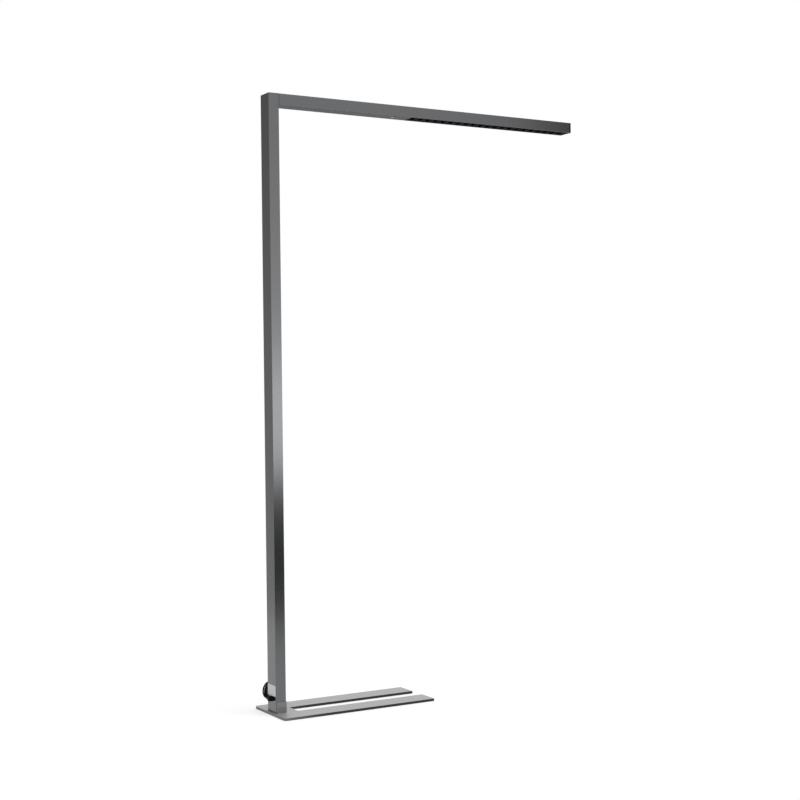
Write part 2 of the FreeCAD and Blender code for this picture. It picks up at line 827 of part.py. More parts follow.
def button_guide():
    middle = V(post_back + button_place, 0, cover_inside())
    inner = button_flange / 2.0 + button_gap
    ring = cylinder(inner + guide_wall, guide_high, middle, V(0, 0, 1))
    return ring.cut(cylinder(inner, guide_high, middle, V(0, 0, 1)))


def button_switch():
    half = switch_size / 2.0
    middle = post_back + button_place
    return box(middle - half, middle + half, -half, half, switch_low(), arm_bottom + control_board_height)


# ---- label and cord outlet on the back of the post -----------------------------------------
def type_label():
    half = label_wide / 2.0
    label = box(post_back - label_thick, post_back, -half, half, label_bottom, label_bottom + label_tall)
    return rounded(label, label_corner, V(1, 0, 0))


def outlet_axis_x():
    return post_back - outlet_proud / 2.0


def outlet_stem_start():
    return V(post_back, outlet_start + outlet_long / 2.0, outlet_height)


def outlet_stem_end():
    return post_back + profile_wall + outlet_stem_inside


def cord_outlet():
    half = outlet_side / 2.0
    body = box(post_back - outlet_proud, post_back, outlet_start, outlet_start + outlet_long,
               outlet_height - half, outlet_height + half)
    body = rounded(body, outlet_back_corner, V(0, 1, 0), lambda m: m.x < post_back - 1)
    body = rounded(body, outlet_end_corner, V(0, 0, 1),
                   lambda m: m.y < outlet_start + 1 and m.x < post_back - 1)
    stem = cylinder(outlet_stem / 2.0, outlet_stem_end() - post_back, outlet_stem_start(), V(1, 0, 0))
    return joined([body, stem])


def outlet_nut():
    start = outlet_stem_start() + V(profile_wall, 0, 0)
    nut = hexagon(outlet_nut_across, outlet_nut_thick, start, V(1, 0, 0))
    return nut.cut(cylinder(outlet_stem / 2.0, outlet_nut_thick, start, V(1, 0, 0)))


def relief(start, direction, end_bore):
    # tapered sleeve with rings; the cord runs into its thin end
    cone = Part.makeCone(relief_big / 2.0, relief_small / 2.0, relief_length, start, direction)
    for number in range(relief_rings):
        along = relief_length * (number + 1) / (relief_rings + 1)
        share = (along + relief_ring_wide / 2.0) / relief_length
        radius = (relief_big + (relief_small - relief_big) * share) / 2.0
        place = start + direction * along
        ring = cylinder(relief_big, relief_ring_wide, place, direction)
        ring = ring.cut(cylinder(radius - relief_ring_deep, relief_ring_wide, place, direction))
        cone = cone.cut(ring)
    return cone.cut(cylinder(cord_diameter / 2.0, relief_grip, end_bore, direction))


def outlet_relief():
    start = V(outlet_axis_x(), outlet_start + outlet_long, outlet_height)
    return relief(start, V(0, 1, 0), start + V(0, relief_length - relief_grip, 0))


# ---- mains lead: short lead, coil, tail and plug -------------------------------------------
def coil_middle(layer):
    near = far_face + coil_off_post + cord_diameter / 2.0
    return V(post_back + coil_ahead, near + (coil_layers - 1 - layer) * coil_layer, coil_height)


def coil_side():
    tilt = math.radians(coil_tilt)
    return V(-math.cos(tilt), 0, math.sin(tilt))


def coil_way():
    tilt = math.radians(coil_tilt)
    return V(math.sin(tilt), 0, math.cos(tilt))


def coil_crossings():
    # where the cord crosses the coil's slanting middle line, left and right in turn
    crossings = []
    side = 1
    for layer in range(coil_layers):
        steps = range(coil_crossings_each)
        for step in steps if layer % 2 == 0 else reversed(steps):
            crossings.append(coil_middle(layer) + coil_side() * side * (coil_outer_turn - coil_step * step))
            side = -side
    return crossings


def coil_end():
    # the last half turn stops where it points straight down
    last, first = coil_crossings()[-1], coil_crossings()[-2]
    middle = (last + first) / 2.0
    return V(middle.x + (last - first).Length / 2.0, middle.y, middle.z)


def coil_edges():
    crossings = coil_crossings()
    edges = [Part.LineSegment(crossings[0] - coil_way() * cord_diameter, crossings[0]).toShape()]
    for number in range(len(crossings) - 1):
        first, last = crossings[number], crossings[number + 1]
        middle = (first + last) / 2.0
        radius = (last - first).Length / 2.0
        up = coil_way() if number % 2 == 0 else -coil_way()
        if number == len(crossings) - 2:
            last = coil_end()
            spread = (first - middle).normalize() + (last - middle).normalize()
            edges.append(Part.Arc(first, middle + spread.normalize() * radius, last).toShape())
        else:
            edges.append(Part.Arc(first, middle + up * radius, last).toShape())
    edges.append(Part.LineSegment(coil_end(), coil_end() - V(0, 0, cord_diameter)).toShape())
    return edges


def least_gap(edges, apart):
    # least distance between points of the line that are further apart along it, less the cord
    points = []
    travelled = []
    total = 0.0
    for edge in edges:
        count = max(2, int(edge.Length / 1.5))
        for number in range(count):
            share = (number + 0.5) / count
            points.append(edge.valueAt(edge.FirstParameter
                                       + (edge.LastParameter - edge.FirstParameter) * share))
            travelled.append(total + edge.Length * share)
        total += edge.Length
    least = 1e9
    for i in range(len(points)):
        for j in range(i + 1, len(points)):
            if travelled[j] - travelled[i] > apart:
                least = min(least, (points[i] - points[j]).Length)
    return least - cord_diameter


def cord_coil():
    edges = coil_edges()
    print("   coil's least gap to itself", round(least_gap(edges, 4 * cord_diameter), 2))
    return swept(edges, cord_diameter)


def lead_points():
    start = V(outlet_axis_x(), outlet_start + outlet_long + relief_length - relief_grip, outlet_height)
    end = coil_crossings()[0] - coil_way() * cord_diameter
    return [start,
            V(post_back - 6.5, 27.0, outlet_height),
            V(post_back - 10.9, 38.0, outlet_height + 0.1),
            V(post_back - 11.2, 47.8, outlet_height + 6.8),
            end - coil_way() * 11.2,
            end]


def cord_lead():
    points = lead_points()
    return tube(points, cord_diameter, corner_radii(points))


def plug_way():
    turn = math.radians(plug_turn)
    return V(math.sin(turn), math.cos(turn), 0)


def plug_height():
    return plate_top + plug_body / 2.0 + plug_above_plate


def tail_points():
    start = coil_end() - V(0, 0, cord_diameter)
    foot = V(start.x, start.y, plug_height())
    return [start,
            foot + V(0, 0, 20.5),
            foot + plug_way() * 7.5 + V(0, 0, 7.5),
            foot + plug_way() * 20.5,
            foot + plug_way() * 35.5]


def cord_tail():
    points = tail_points()
    return tube(points, cord_diameter, corner_radii(points))


def plug_start():
    return tail_points()[-1] + plug_way() * (relief_length - relief_grip)


def plug_relief():
    return relief(plug_start(), -plug_way(), tail_points()[-1])


def turned(outline, start, direction):
    # an outline of (along, radius) points turned about its own line
    points = [V(radius, 0, along) for along, radius in outline]
    points.append(points[0])
    body = Part.Face(Part.makePolygon(points)).revolve(V(0, 0, 0), V(0, 0, 1), 360)
    body = body if body.Volume > 0 else body.reversed()
    body.Placement = FreeCAD.Placement(start, FreeCAD.Rotation(V(0, 0, 1), direction))
    return body


def plug_housing():
    big = plug_body / 2.0
    outline = [(0, 0), (0, 8.0), (3, 10.0), (9, 12.0), (12, big - 0.8), (13, big),
               (plug_body_length - 1, big), (plug_body_length, big - 1), (plug_body_length, 0)]
    body = turned(outline, plug_start(), plug_way())
    for place in plug_pin_places():
        body = body.cut(cylinder(plug_pin / 2.0, plug_pin_seat, place, -plug_way()))
    return body


def plug_pin_places():
    across = V(0, 0, plug_pin_pitch / 2.0)
    face = plug_start() + plug_way() * plug_body_length
    return [face - across, face + across]


def plug_pins():
    pins = []
    radius = plug_pin / 2.0
    tip = plug_pin_seat + plug_pin_length
    outline = [(0, 0), (0, radius), (tip - plug_pin_point, radius), (tip, radius - plug_pin_point), (tip, 0)]
    for place in plug_pin_places():
        pins.append(turned(outline, place - plug_way() * plug_pin_seat, plug_way()))
    return Part.makeCompound(pins)


# ---- tie and clip that hold the coil to the post -------------------------------------------
def at_tie(shape):
    # built with the coil's radius along X and its axis along Y, then turned to its place
    middle = V(post_back + coil_ahead, 0, coil_height)
    shape.translate(middle)
    shape.rotate(middle, V(0, -1, 0), tie_angle)
    return shape


def tie_reach():
    inner = coil_outer_turn - (coil_crossings_each - 1) * coil_step - cord_diameter / 2.0
    inner = math.sqrt(inner ** 2 - (tie_wide / 2.0) ** 2) - tie_slack
    return inner, coil_outer_turn + cord_diameter / 2.0 + tie_slack


def tie_near():
    return far_face + clip_base + clip_opening - tie_thick - tie_gap


def cord_tie():
    inner, outer = tie_reach()
    near = tie_near() + tie_thick
    far = coil_middle(0).y + cord_diameter / 2.0 + tie_slack
    half = tie_wide / 2.0
    around = box(inner - tie_thick, outer + tie_thick, near - tie_thick, far + tie_thick, -half, half)
    around = rounded(around, tie_corner + tie_thick, V(0, 0, 1), lambda m: m.y > far)
    hole = box(inner, outer, near, far, -half - 1, half + 1)
    hole = rounded(hole, tie_corner, V(0, 0, 1), lambda m: m.y > far - 1)
    return at_tie(around.cut(hole))


def cord_clip():
    inner, outer = tie_reach()
    middle = (inner + outer) / 2.0
    tall = clip_tall / 2.0
    wide = clip_wide / 2.0
    leg = tie_wide / 2.0 + clip_leg_gap
    top = far_face + clip_base + clip_opening
    parts = [box(middle - tall, middle + tall, far_face, far_face + clip_base, -wide, wide),
             box(middle - tall / 2.0, middle + tall / 2.0, top, top + clip_bridge, -wide, wide)]
    for z0, z1 in ((-wide, -leg), (leg, wide)):
        parts.append(box(middle - tall / 2.0, middle + tall / 2.0, far_face + clip_base, top, z0, z1))
    return at_tie(joined(parts))


# ---- everything ----------------------------------------------------------------------------
for node, make in (
    ("base_plate", base_plate),
    ("base_feet", base_feet),
    ("base_screws", base_screws),
    ("foot_spigot", foot_spigot),
    ("foot_collar", foot_collar),
    ("grub_screws", grub_screws),
    ("post_tube", post_tube),
    ("post_cap", post_cap),
    ("corner_bracket", corner_bracket),
    ("corner_screws", corner_screws),
    ("tongue_screws", tongue_screws),
    ("arm_housing", arm_housing),
    ("arm_bottom_cover", arm_bottom_cover),
    ("arm_end_cap", end_cap),
    ("louvre", louvre),
    ("down_lens", down_lens),
    ("down_led_board", lambda: led_strip(web_bottom - board_gap, -1)),
    ("up_led_board", lambda: led_strip(web_top + board_gap, 1)),
    ("top_cover", top_cover),
    ("top_diffuser", top_diffuser),
    ("led_driver", led_driver),
    ("driver_screws", driver_screws),
    ("terminal_block", terminal_block),
    ("supply_cable", supply_cable),
    ("output_wires", output_wires),
    ("control_board", control_board),
    ("control_spacers", control_spacers),
    ("sensor_lens", sensor_lens),
    ("sensor_body", sensor_body),
    ("push_button", push_button),
    ("button_guide", button_guide),
    ("button_switch", button_switch),
    ("type_label", type_label),
    ("cord_outlet", cord_outlet),
    ("outlet_nut", outlet_nut),
    ("outlet_relief", outlet_relief),
    ("cord_lead", cord_lead),
    ("cord_coil", cord_coil),
    ("cord_tail", cord_tail),
    ("plug_relief", plug_relief),
    ("plug_housing", plug_housing),
    ("plug_pins", plug_pins),
    ("cord_tie", cord_tie),
    ("cord_clip", cord_clip),
):
    save(node, make())
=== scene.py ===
import math

import bpy
from mathutils import Matrix, Vector


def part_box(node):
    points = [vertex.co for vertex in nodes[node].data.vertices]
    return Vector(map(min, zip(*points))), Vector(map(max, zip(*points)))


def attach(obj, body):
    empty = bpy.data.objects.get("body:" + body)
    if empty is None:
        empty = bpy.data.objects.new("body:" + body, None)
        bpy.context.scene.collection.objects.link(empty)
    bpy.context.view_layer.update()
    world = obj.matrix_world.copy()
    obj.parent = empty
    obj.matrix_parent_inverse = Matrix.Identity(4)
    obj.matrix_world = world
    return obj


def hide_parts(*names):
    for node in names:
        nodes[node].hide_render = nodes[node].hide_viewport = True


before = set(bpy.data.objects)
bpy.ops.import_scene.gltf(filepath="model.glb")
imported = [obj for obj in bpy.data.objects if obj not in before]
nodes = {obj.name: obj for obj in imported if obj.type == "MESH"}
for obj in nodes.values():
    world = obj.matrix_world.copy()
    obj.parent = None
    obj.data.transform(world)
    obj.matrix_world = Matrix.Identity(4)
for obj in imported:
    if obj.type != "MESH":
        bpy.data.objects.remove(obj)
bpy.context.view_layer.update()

# ---- Camera --------------------------------------------------------------------------------
# A level view from nearly five metres, thirty degrees to the post's side of the lamp, with a
# short telephoto lens. It stands where the lamp's own edges put it.
camera_place = Vector((-2.5328, -4.1749, 1.0115))
camera_turn = math.radians(30.209)
camera_tilt = math.radians(-0.332)
camera_roll = math.radians(-0.668)
camera_lens = 65.77
camera_film = 36
camera_sight = 200

ahead = Vector((math.sin(camera_turn) * math.cos(camera_tilt),
                math.cos(camera_turn) * math.cos(camera_tilt), math.sin(camera_tilt)))
level = Vector((math.cos(camera_turn), -math.sin(camera_turn), 0))
above = level.cross(ahead)
right = level * math.cos(camera_roll) + above * math.sin(camera_roll)
upward = above * math.cos(camera_roll) - level * math.sin(camera_roll)
camera_data = bpy.data.cameras.new("camera")
camera_data.lens = camera_lens
camera_data.sensor_width = camera_film
camera_data.clip_end = camera_sight
camera = bpy.data.objects.new("camera", camera_data)
bpy.context.collection.objects.link(camera)
camera.matrix_world = Matrix((
    (right.x, upward.x, -ahead.x, camera_place.x),
    (right.y, upward.y, -ahead.y, camera_place.y),
    (right.z, upward.z, -ahead.z, camera_place.z),
    (0, 0, 0, 1)))
bpy.context.scene.camera = camera
bpy.context.scene.view_settings.view_transform = "Standard"

# ---- Mains lead, outlet and plug -----------------------------------------------------------
# A round black two-core lead. It leaves the outlet sideways, turns up behind the post, and is
# wound into a small neat coil of four layers, held by a tie. Its plug lies on the base plate.
post_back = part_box("post_tube")[0][0]
cord_thick = 0.005
cord_fineness = 6
outlet_height = 0.051
coil_forward = 0.0240           # from the back of the post to the middle of the coil
coil_height = 0.0673
coil_centre = Vector((post_back + coil_forward, 0, coil_height))
coil_near = 0.0358              # from the middle of the post to the nearest layer
coil_layer = 0.0057             # from one layer to the next
coil_outer = 0.0285
coil_step = 0.0033              # from one turn to the next inside it
coil_layers = 4
crossings_each = 4
coil_tilt = math.radians(30)
half_turn_points = 10
# The smooth line cuts inside its control points, so they stand out by this much.
spread = 1 / ((1 + math.cos(math.pi / half_turn_points)) / 2) ** 0.5
coil_side = Vector((-math.cos(coil_tilt), 0, math.sin(coil_tilt)))
coil_way = Vector((math.sin(coil_tilt), 0, math.cos(coil_tilt)))


def coil_crossings():
    """Where the cord crosses the coil's slanting middle line, left and right in turn."""
    found = []
    side = 1
    for layer in range(coil_layers):
        y = coil_near + (coil_layers - 1 - layer) * coil_layer
        steps = range(crossings_each)
        for step in steps if layer % 2 == 0 else reversed(steps):
            reach = coil_outer - coil_step * step
            found.append(coil_centre + Vector((0, y, 0)) + coil_side * side * reach)
            side = -side
    return found


def coil_points():
    """Control points round every half turn, each a half circle between two crossings."""
    crossings = coil_crossings()
    points = []
    for number, (first, last) in enumerate(zip(crossings, crossings[1:])):
        middle = (first + last) / 2
        radius = (last - first).length / 2
        rise = coil_way if number % 2 == 0 else -coil_way
        out = (first - middle).normalized()
        final = number == len(crossings) - 2
        whole = math.pi - coil_tilt if final else math.pi
        for step in range(half_turn_points):
            angle = whole * (step + 0.5) / half_turn_points
            points.append(middle + (out * math.cos(angle) + rise * math.sin(angle)) * radius * spread)
    return points


crossings = coil_crossings()
coil_start = crossings[0] - coil_way * cord_thick
last_middle = (crossings[-1] + crossings[-2]) / 2
coil_end = last_middle + Vector(((crossings[-1] - crossings[-2]).length / 2, 0, 0))
# The lead's places from the outlet on: behind the post, to its side, and above the outlet.
lead_places = ((0.0065, 0.0180, 0), (0.0065, 0.0270, 0), (0.0074, 0.0380, 0), (0.0066, 0.0479, 0.0064))
lead_rise = Vector((0.0026, 0, 0.0099))
lead_route = [Vector((post_back - behind, aside, outlet_height + over))
              for behind, aside, over in lead_places]
lead_route += [coil_start - lead_rise, coil_start, crossings[0]]
# The tail drops from the coil and bends round into the plug, which lies turned a little.
plug_turn = math.radians(18)
plug_height = 0.02565
tail_bend = 0.0205
tail_inside = 0.0075
tail_end = 0.0355
plug_way = Vector((math.sin(plug_turn), math.cos(plug_turn), 0))
plug_foot = Vector((coil_end.x, coil_end.y, plug_height))
tail_route = [
    coil_end,
    coil_end - Vector((0, 0, cord_thick)),
    plug_foot + Vector((0, 0, tail_bend)),
    plug_foot + plug_way * tail_inside + Vector((0, 0, tail_inside)),
    plug_foot + plug_way * tail_bend,
    plug_foot + plug_way * tail_end,
]
cord_curve = bpy.data.curves.new("mains_lead", "CURVE")
cord_curve.dimensions = "3D"
cord_curve.bevel_depth = cord_thick / 2
cord_curve.bevel_resolution = cord_fineness
cord_curve.resolution_u = cord_fineness
cord_curve.use_fill_caps = True
cord_line = cord_curve.splines.new("NURBS")
cord_places = lead_route + coil_points() + tail_route
cord_line.points.add(len(cord_places) - 1)
for point, place in zip(cord_line.points, cord_places):
    point.co = (*place, 1)
cord_line.order_u = 3
cord_line.use_endpoint_u = True
cord_route = bpy.data.objects.new("mains_lead_route", cord_curve)
bpy.context.collection.objects.link(cord_route)


def mesh_of(curve_object):
    """The mesh that Blender makes of a curve as it stands."""
    bpy.context.view_layer.update()
    evaluated = curve_object.evaluated_get(bpy.context.evaluated_depsgraph_get())
    return bpy.data.meshes.new_from_object(evaluated)


# The round sheath first, then the bare line along its middle, which is made and removed again unused.
tube_mesh = mesh_of(cord_route)
tube_mesh.name = "mains_lead"
tube_mesh.shade_smooth()
cord_curve.bevel_depth = 0
line_mesh = mesh_of(cord_route)
bpy.data.meshes.remove(line_mesh)
bpy.data.objects.remove(cord_route)
mains_lead = bpy.data.objects.new("mains_lead", tube_mesh)
bpy.context.collection.objects.link(mains_lead)
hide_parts("cord_lead", "cord_coil", "cord_tail")
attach(mains_lead, "lamp")


def add(tree, kind, **settings):
    """A node with its plain settings; a number or colour goes on the socket of that name."""
    node = tree.nodes.new(kind)
    for name, value in settings.items():
        if hasattr(node, name):
            setattr(node, name, value)
        else:
            node.inputs[name.replace("_", " ")].default_value = value
    return node


def new_group(name, inputs, outputs):
    """An empty shader node group with named sockets."""
    group = bpy.data.node_groups.new(name, "ShaderNodeTree")
    for label, kind, value in inputs:
        socket = group.interface.new_socket(label, in_out="INPUT", socket_type=kind)
        socket.default_value = value
    for label, kind in outputs:
        group.interface.new_socket(label, in_out="OUTPUT", socket_type=kind)
    return group, group.nodes.new("NodeGroupInput"), group.nodes.new("NodeGroupOutput")


def new_material(name):
    """A material with its Principled BSDF, ready for nodes."""
    material = bpy.data.materials.new(name)
    material.use_nodes = True
    tree = material.node_tree
    return material, tree, tree.nodes["Principled BSDF"]


def dress(material, *names):
    """Gives a whole CAD node one material."""
    for name in names:
        data = nodes[name].data
        data.materials.clear()
        data.materials.append(material)


def vary(group, group_in, group_out, change):
    """Turns a change above and below nothing into an effect's colour and gloss."""
    gain = add(group, "ShaderNodeMath", operation="MULTIPLY_ADD")
    group.links.new(change, gain.inputs[0])
    group.links.new(group_in.outputs["Colour change"], gain.inputs[1])
    gain.inputs[2].default_value = 1.0
    tint = add(group, "ShaderNodeVectorMath", operation="SCALE")
    group.links.new(group_in.outputs["Colour"], tint.inputs[0])
    group.links.new(gain.outputs[0], tint.inputs["Scale"])
    group.links.new(tint.outputs[0], group_out.inputs["Colour"])
    gloss = add(group, "ShaderNodeMath", operation="MULTIPLY_ADD")
    group.links.new(change, gloss.inputs[0])
    group.links.new(group_in.outputs["Gloss change"], gloss.inputs[1])
    group.links.new(group_in.outputs["Gloss"], gloss.inputs[2])
    group.links.new(gloss.outputs[0], group_out.inputs["Roughness"])


# Speckle: the fine unevenness of moulded and painted surfaces, as colour, gloss and height.
speckle, speckle_in, speckle_out = new_group(
    "speckle",
    [("Colour", "NodeSocketColor", (0.5, 0.5, 0.5, 1)), ("Size", "NodeSocketFloat", 0.001),
     ("Colour change", "NodeSocketFloat", 0.05), ("Gloss", "NodeSocketFloat", 0.4),
     ("Gloss change", "NodeSocketFloat", 0.1)],
    [("Colour", "NodeSocketColor"), ("Roughness", "NodeSocketFloat"), ("Height", "NodeSocketFloat")])
place_node = add(speckle, "ShaderNodeTexCoord")
scale_node = add(speckle, "ShaderNodeMath", operation="DIVIDE")
scale_node.inputs[0].default_value = 1.0
speckle.links.new(speckle_in.outputs["Size"], scale_node.inputs[1])
fine_noise = add(speckle, "ShaderNodeTexNoise", Detail=3.0)
speckle.links.new(place_node.outputs["Object"], fine_noise.inputs["Vector"])
speckle.links.new(scale_node.outputs[0], fine_noise.inputs["Scale"])
broad_noise = add(speckle, "ShaderNodeTexNoise", Scale=9.0, Detail=4.0)
speckle.links.new(place_node.outputs["Object"], broad_noise.inputs["Vector"])
noise_mean = 0.5
both = add(speckle, "ShaderNodeMath", operation="ADD")
speckle.links.new(fine_noise.outputs["Fac"], both.inputs[0])
speckle.links.new(broad_noise.outputs["Fac"], both.inputs[1])
centred = add(speckle, "ShaderNodeMath", operation="SUBTRACT")
centred.inputs[1].default_value = 2 * noise_mean
speckle.links.new(both.outputs[0], centred.inputs[0])
vary(speckle, speckle_in, speckle_out, centred.outputs[0])
speckle.links.new(fine_noise.outputs["Fac"], speckle_out.inputs["Height"])


def coated(name, effect, colour, roughness, change, gloss_change, bump, depth, metal):
    """A material that takes its colour, gloss and height from an effect group."""
    material, tree, shader = new_material(name)
    group = add(tree, "ShaderNodeGroup", node_tree=effect)
    group.inputs["Colour"].default_value = (*colour, 1)
    group.inputs["Colour change"].default_value = change
    group.inputs["Gloss"].default_value = roughness
    group.inputs["Gloss change"].default_value = gloss_change
    tree.links.new(group.outputs["Colour"], shader.inputs["Base Color"])
    tree.links.new(group.outputs["Roughness"], shader.inputs["Roughness"])
    raised = add(tree, "ShaderNodeBump", Strength=bump, Distance=depth)
    tree.links.new(group.outputs["Height"], raised.inputs["Height"])
    tree.links.new(raised.outputs["Normal"], shader.inputs["Normal"])
    shader.inputs["Metallic"].default_value = metal
    return material, group, shader


def speckled(name, colour, roughness, size=0.001, change=0.1, gloss_change=0.1, bump=0.1, metal=0.0,
             shine=0.5):
    """A moulded, painted or cast finish."""
    material, group, shader = coated(name, speckle, colour, roughness, change, gloss_change, bump,
                                     size, metal)
    group.inputs["Size"].default_value = size
    shader.inputs["Specular IOR Level"].default_value = shine
    return material


cord_sheath = speckled("cord_sheath", (0.006, 0.006, 0.0065), 0.42, size=0.0012, bump=0.05, shine=0.2)
mains_lead.data.materials.append(cord_sheath)
relief_rubber = speckled("relief_rubber", (0.004, 0.004, 0.0045), 0.55, size=0.0008, shine=0.15)
dress(relief_rubber, "outlet_relief", "plug_relief")
outlet_plastic = speckled("outlet_plastic", (0.003, 0.003, 0.0034), 0.6, size=0.0007, bump=0.2,
                          shine=0.1)
dress(outlet_plastic, "cord_outlet", "outlet_nut", "cord_clip")
plug_plastic = speckled("plug_plastic", (0.012, 0.012, 0.013), 0.30, size=0.0006, bump=0.08)
dress(plug_plastic, "plug_housing")
plug_nickel = speckled("plug_nickel", (0.62, 0.60, 0.56), 0.22, size=0.0006, bump=0.03, metal=1.0)
dress(plug_nickel, "plug_pins")
tie_cloth = speckled("tie_cloth", (0.014, 0.014, 0.014), 0.85, size=0.0005, change=0.5, bump=0.6)
dress(tie_cloth, "cord_tie")
dress(cord_sheath, "cord_lead", "cord_coil", "cord_tail", "supply_cable", "output_wires")

# ---- Base plate ----------------------------------------------------------------------------
# Eight millimetre steel plate, cut to a fork, brushed along its length and lacquered clear.
# It stands on six thin rubber feet and carries the post on two countersunk screws.

# Drawn lines: long fine scratches along one axis, as brushing or extruding leaves them.
drawn, drawn_in, drawn_out = new_group(
    "drawn_lines",
    [("Colour", "NodeSocketColor", (0.5, 0.5, 0.5, 1)), ("Stretch", "NodeSocketVector", (1, 1, 1)),
     ("Colour change", "NodeSocketFloat", 0.1), ("Gloss", "NodeSocketFloat", 0.3),
     ("Gloss change", "NodeSocketFloat", 0.1)],
    [("Colour", "NodeSocketColor"), ("Roughness", "NodeSocketFloat"), ("Height", "NodeSocketFloat")])
place_node = add(drawn, "ShaderNodeTexCoord")
stretch = add(drawn, "ShaderNodeVectorMath", operation="MULTIPLY")
drawn.links.new(place_node.outputs["Object"], stretch.inputs[0])
drawn.links.new(drawn_in.outputs["Stretch"], stretch.inputs[1])
line_noise = add(drawn, "ShaderNodeTexNoise", Scale=1.0, Detail=4.0, Roughness=0.6)
drawn.links.new(stretch.outputs[0], line_noise.inputs["Vector"])
hand_noise = add(drawn, "ShaderNodeTexNoise", Scale=5.0, Detail=5.0, Roughness=0.6)
drawn.links.new(place_node.outputs["Object"], hand_noise.inputs["Vector"])
hand_share = 0.5
mixed = add(drawn, "ShaderNodeMath", operation="MULTIPLY_ADD")
drawn.links.new(hand_noise.outputs["Fac"], mixed.inputs[0])
mixed.inputs[1].default_value = hand_share
drawn.links.new(line_noise.outputs["Fac"], mixed.inputs[2])
centred = add(drawn, "ShaderNodeMath", operation="SUBTRACT")
centred.inputs[1].default_value = noise_mean * (1 + hand_share)
drawn.links.new(mixed.outputs[0], centred.inputs[0])
vary(drawn, drawn_in, drawn_out, centred.outputs[0])
drawn.links.new(line_noise.outputs["Fac"], drawn_out.inputs["Height"])


def brushed(name, colour, roughness, stretch_by, change=0.2, gloss_change=0.2, bump=0.05):
    """A metal finish with lines along the axis that is stretched least."""
    material, group = coated(name, drawn, colour, roughness, change, gloss_change, bump,
                             line_depth, 1.0)[:2]
    group.inputs["Stretch"].default_value = stretch_by
    return material


line_width = 0.0005
line_depth = 0.0002
lines_per_metre = 1 / line_width
along_line = 4.0
lines_along_x = (along_line, lines_per_metre, lines_per_metre)
lines_along_z = (lines_per_metre, lines_per_metre, along_line)
# The cut edges are painted darker than the top as painted shade and painted reflection, least so at the
# post's end of the plate.
top_grey = (0.435, 0.435, 0.44, 1)
rear_edge_painted_shade = (0.19, 0.19, 0.195, 1)
front_edge_painted_shade = (0.05, 0.05, 0.052, 1)
edge_shade_begins, edge_shade_ends = 0.45, 0.589
shaded_facing, unshaded_facing = 0.4, 0.8
plate_steel = brushed("plate_steel", top_grey[:3], 0.55, lines_along_x)
plate_tree = plate_steel.node_tree


def plate_tone(vector, axis, low, high, first, second):
    """A mix from one tone to another while one part of a vector, either way, runs from low to high."""
    parts = add(plate_tree, "ShaderNodeSeparateXYZ")
    plate_tree.links.new(vector, parts.inputs[0])
    size = add(plate_tree, "ShaderNodeMath", operation="ABSOLUTE")
    plate_tree.links.new(parts.outputs[axis], size.inputs[0])
    run = add(plate_tree, "ShaderNodeMapRange")
    run.inputs["From Min"].default_value = low
    run.inputs["From Max"].default_value = high
    plate_tree.links.new(size.outputs[0], run.inputs["Value"])
    tone = add(plate_tree, "ShaderNodeMix", data_type="RGBA")
    plate_tree.links.new(run.outputs["Result"], tone.inputs["Factor"])
    for socket, colour in ((tone.inputs[6], first), (tone.inputs[7], second)):
        if isinstance(colour, tuple):
            socket.default_value = colour
        else:
            plate_tree.links.new(colour, socket)
    return tone.outputs[2]


plate_place = add(plate_tree, "ShaderNodeTexCoord")
# Painted shade and painted reflection on the edges: dark far out along the plate, a mid grey at the
# post's end; faces that look up keep the top's own grey.
painted_edge_shade = plate_tone(plate_place.outputs["Object"], "X", edge_shade_begins, edge_shade_ends,
                       front_edge_painted_shade, rear_edge_painted_shade)
top_and_painted_shade = plate_tone(plate_place.outputs["Normal"], "Z", shaded_facing, unshaded_facing, painted_edge_shade, top_grey)
plate_tree.links.new(top_and_painted_shade, plate_tree.nodes["Group"].inputs["Colour"])
dress(plate_steel, "base_plate")
foot_rubber = speckled("foot_rubber", (0.012, 0.012, 0.012), 0.8, size=0.0008, bump=0.3)
dress(foot_rubber, "base_feet")
zinc = speckled("zinc", (0.42, 0.42, 0.44), 0.35, size=0.0008, metal=1.0)
dress(zinc, "base_screws", "grub_screws", "corner_screws", "tongue_screws", "driver_screws")
milled_steel = brushed("milled_steel", (0.40, 0.40, 0.41), 0.4, lines_along_z)
dress(milled_steel, "foot_spigot")

# ---- Post, collar and cap ------------------------------------------------------------------
# One length of flat aluminium extrusion, satin anodised in a mid grey. A thin collar, a little
# lighter and duller, hides where it meets the plate, and a flat cap closes the top.
post_metal = brushed("post_metal", (0.150, 0.152, 0.156), 0.22, lines_along_z, change=0.05,
                     gloss_change=0.06, bump=0.02)
dress(post_metal, "post_tube", "post_cap")
collar_metal = brushed("collar_metal", (0.24, 0.242, 0.246), 0.34, lines_along_z, change=0.06,
                       gloss_change=0.06)
dress(collar_metal, "foot_collar")

# ---- Arm -----------------------------------------------------------------------------------
# The same extrusion laid flat, butted against the post. Snap-in strips close its first part;
# the rest holds an opal diffuser above and a black cell louvre below.
arm_metal = brushed("arm_metal", (0.145, 0.147, 0.151), 0.22, lines_along_x, change=0.05,
                    gloss_change=0.06, bump=0.02)
dress(arm_metal, "arm_housing", "arm_bottom_cover", "top_cover")
cast_metal = speckled("cast_metal", (0.45, 0.45, 0.46), 0.5, size=0.002, bump=0.3, metal=1.0)
dress(cast_metal, "corner_bracket")
cap_plastic = speckled("cap_plastic", (0.005, 0.005, 0.0055), 0.5, size=0.0006, bump=0.15, shine=0.2)
dress(cap_plastic, "arm_end_cap", "button_guide", "button_switch")
louvre_black = speckled("louvre_black", (0.004, 0.004, 0.0045), 0.3, size=0.004, change=0.05, bump=0.01,
                        shine=0.2)
dress(louvre_black, "louvre")
opal = speckled("opal", (0.80, 0.80, 0.79), 0.45, size=0.0008, change=0.02, bump=0.05)
